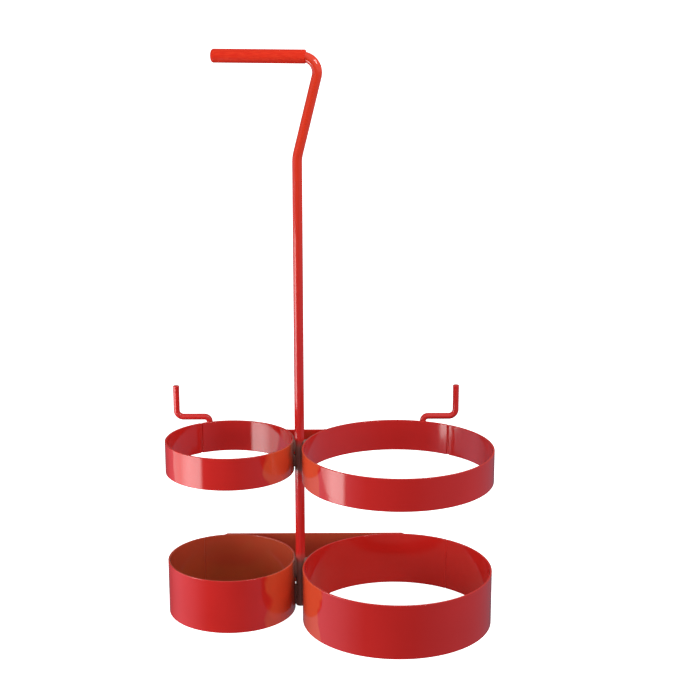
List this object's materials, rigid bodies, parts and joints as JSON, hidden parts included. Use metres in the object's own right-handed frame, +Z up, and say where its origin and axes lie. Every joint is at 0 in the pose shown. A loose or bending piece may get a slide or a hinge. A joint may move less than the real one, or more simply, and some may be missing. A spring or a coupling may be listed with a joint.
{
  "type": "gas bottle carrier",
  "caption": "Carrying frame of rolled strip rings on a bent round bar, with a sleeved grip and wire hooks, that holds a slim and a wide gas bottle side by side.",
  "frame": {"origin": "on the floor, under the centre of the whole carrier's outline", "axes": "+Z up, +X to the wide bottle's side, -Y to the front, with the flat back strip along X"},
  "size_m": [0.2024, 0.1189, 0.3489],
  "materials": {
    "red_enamel": "gloss red stoved enamel on rolled and flat steel strip, faint orange peel",
    "rod_enamel": "gloss red stoved enamel on round steel bar and wire",
    "weld_enamel": "the same enamel over rippled weld beads",
    "grip_pvc": "soft satin plastic sleeve, orange red"
  },
  "bodies": {
    "root": {"lower_small_ring": "red_enamel", "lower_small_seam": "red_enamel", "lower_small_rod_welds": "weld_enamel", "lower_large_ring": "red_enamel", "lower_large_seam": "red_enamel", "lower_large_rod_welds": "weld_enamel", "upper_small_ring": "red_enamel", "upper_small_seam": "red_enamel", "upper_small_rod_welds": "weld_enamel", "upper_large_ring": "red_enamel", "upper_large_seam": "red_enamel", "upper_large_rod_welds": "weld_enamel", "main_rod": "rod_enamel", "small_side_hook": "rod_enamel", "large_side_hook": "rod_enamel", "grip_sleeve": "grip_pvc", "bridge_strip": "red_enamel", "back_strip": "red_enamel", "small_support_strap": "red_enamel", "large_support_strap": "red_enamel", "small_strap_welds": "weld_enamel", "large_strap_welds": "weld_enamel", "small_hook_weld": "weld_enamel", "large_hook_weld": "weld_enamel", "bridge_welds": "weld_enamel", "back_strip_welds": "weld_enamel"}
  },
  "joints": []
}
